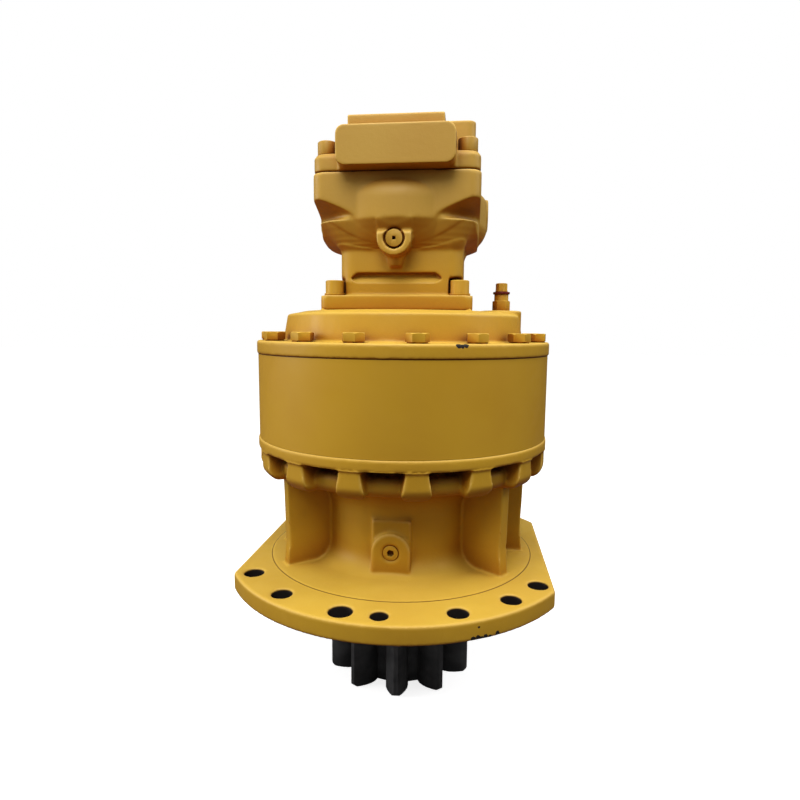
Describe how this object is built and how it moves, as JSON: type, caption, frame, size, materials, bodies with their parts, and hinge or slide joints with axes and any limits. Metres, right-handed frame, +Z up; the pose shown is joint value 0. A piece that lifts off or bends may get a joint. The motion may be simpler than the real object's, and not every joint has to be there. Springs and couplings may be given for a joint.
{
  "type": "excavator swing motor",
  "caption": "Upright hydraulic swing motor on a planetary gearbox with a round deck flange and a toothed output pinion below.",
  "frame": {"origin": "centre of the deck face, on the axis of the pinion", "axes": "+Z up along the pinion axis towards the motor, -Y towards the front box and plugs, +X towards the breather"},
  "size_m": [0.406, 0.4798, 0.765],
  "materials": {
    "cast_paint": "satin machinery paint over a sand cast skin",
    "ring_paint": "satin machinery paint over turned steel",
    "fastener_paint": "satin machinery paint over fasteners",
    "red_washer": "dark red sealing washer",
    "plug_steel": "zinc plated, dulled",
    "cover_steel": "dark satin",
    "seal_rubber": "oily matt",
    "pinion_steel": "black oxide, oiled, satin",
    "bearing_steel": "ground",
    "gear_steel": "ground and oiled",
    "carrier_iron": "machined nodular iron",
    "bronze": "turned bronze",
    "motor_steel": "lapped steel",
    "spring_steel": "dark spring wire",
    "friction_lining": "paper friction lining"
  },
  "bodies": {
    "root": {"lower_housing": "cast_paint", "ring_gear": "ring_paint", "top_cover": "cast_paint", "ring_bolts": "fastener_paint", "lower_bearing_cup": "bearing_steel", "upper_bearing_cup": "bearing_steel", "output_seal": "seal_rubber", "bearing_cover": "cover_steel", "cover_screws": "plug_steel", "gearbox_plug": "fastener_paint", "breather_body": "fastener_paint", "breather_washer": "red_washer", "breather_cap": "fastener_paint", "motor_casing": "cast_paint", "base_screws": "fastener_paint", "head_casing": "cast_paint", "head_screws": "fastener_paint", "casing_plug": "fastener_paint", "side_plug": "plug_steel", "motor_seal": "seal_rubber", "casing_bearing_cup": "bearing_steel", "head_bearing": "bearing_steel", "swash_plate": "motor_steel", "valve_plate": "bronze", "cylinder_block": "motor_steel", "pistons": "motor_steel", "piston_shoes": "bronze", "retainer_plate": "motor_steel", "retainer_guide": "motor_steel", "brake_discs": "friction_lining", "brake_plates": "motor_steel", "brake_springs": "spring_steel", "relief_valves": "plug_steel", "makeup_plugs": "plug_steel"},
    "brake": {"brake_piston": "motor_steel"},
    "output_shaft": {"pinion_shaft": "pinion_steel", "wear_sleeve": "bearing_steel", "lower_bearing_cone": "bearing_steel", "lower_bearing_rollers": "bearing_steel", "upper_bearing_cone": "bearing_steel", "upper_bearing_rollers": "bearing_steel", "shaft_nut": "carrier_iron", "output_carrier": "carrier_iron", "output_pins": "gear_steel", "output_bushes": "bronze"},
    "output_planet_a": {"output_planet_1": "gear_steel"},
    "output_planet_b": {"output_planet_2": "gear_steel"},
    "output_planet_c": {"output_planet_3": "gear_steel"},
    "output_planet_d": {"output_planet_4": "gear_steel"},
    "middle_shaft": {"middle_sun": "gear_steel", "input_carrier": "carrier_iron", "input_pins": "gear_steel", "input_bushes": "bronze"},
    "input_planet_a": {"input_planet_1": "gear_steel"},
    "input_planet_b": {"input_planet_2": "gear_steel"},
    "input_planet_c": {"input_planet_3": "gear_steel"},
    "input_shaft": {"input_sun": "gear_steel", "motor_shaft": "gear_steel", "casing_bearing_cone": "bearing_steel", "casing_bearing_rollers": "bearing_steel"}
  },
  "joints": [
    {"name": "pinion_spin", "type": "hinge", "parent": "root", "child": "output_shaft", "pos_m": [0, 0, 0], "axis": [0, 0, 1], "continuous": true},
    {"name": "output_planet_a_spin", "type": "hinge", "parent": "output_shaft", "child": "output_planet_a", "pos_m": [0.105, 0, 0.224], "axis": [0, 0, 1], "continuous": true},
    {"name": "output_planet_b_spin", "type": "hinge", "parent": "output_shaft", "child": "output_planet_b", "pos_m": [0, 0.105, 0.224], "axis": [0, 0, 1], "continuous": true},
    {"name": "output_planet_c_spin", "type": "hinge", "parent": "output_shaft", "child": "output_planet_c", "pos_m": [-0.105, 0, 0.224], "axis": [0, 0, 1], "continuous": true},
    {"name": "output_planet_d_spin", "type": "hinge", "parent": "output_shaft", "child": "output_planet_d", "pos_m": [0, -0.105, 0.224], "axis": [0, 0, 1], "continuous": true},
    {"name": "middle_spin", "type": "hinge", "parent": "root", "child": "middle_shaft", "pos_m": [0, 0, 0.25], "axis": [0, 0, 1], "continuous": true},
    {"name": "input_planet_a_spin", "type": "hinge", "parent": "middle_shaft", "child": "input_planet_a", "pos_m": [0.0975, 0, 0.285], "axis": [0, 0, 1], "continuous": true},
    {"name": "input_planet_b_spin", "type": "hinge", "parent": "middle_shaft", "child": "input_planet_b", "pos_m": [-0.04875, 0.08444, 0.285], "axis": [0, 0, 1], "continuous": true},
    {"name": "input_planet_c_spin", "type": "hinge", "parent": "middle_shaft", "child": "input_planet_c", "pos_m": [-0.04875, -0.08444, 0.285], "axis": [0, 0, 1], "continuous": true},
    {"name": "input_spin", "type": "hinge", "parent": "root", "child": "input_shaft", "pos_m": [0, 0, 0.3], "axis": [0, 0, 1], "continuous": true},
    {"name": "brake_release", "type": "slide", "parent": "root", "child": "brake", "axis": [0, 0, 1], "range_m": [0, 0.0025], "stiffness_N_per_m": 20000, "springref_m": -0.005, "deforming": ["brake_springs"]}
  ],
  "couplings": [
    {"joint": "output_planet_a_spin", "follows": "pinion_spin", "ratio": -3},
    {"joint": "output_planet_b_spin", "follows": "pinion_spin", "ratio": -3},
    {"joint": "output_planet_c_spin", "follows": "pinion_spin", "ratio": -3},
    {"joint": "output_planet_d_spin", "follows": "pinion_spin", "ratio": -3},
    {"joint": "middle_spin", "follows": "pinion_spin", "ratio": 4},
    {"joint": "input_planet_a_spin", "follows": "pinion_spin", "ratio": -10.5},
    {"joint": "input_planet_b_spin", "follows": "pinion_spin", "ratio": -10.5},
    {"joint": "input_planet_c_spin", "follows": "pinion_spin", "ratio": -10.5},
    {"joint": "input_spin", "follows": "pinion_spin", "ratio": 20.8}
  ]
}
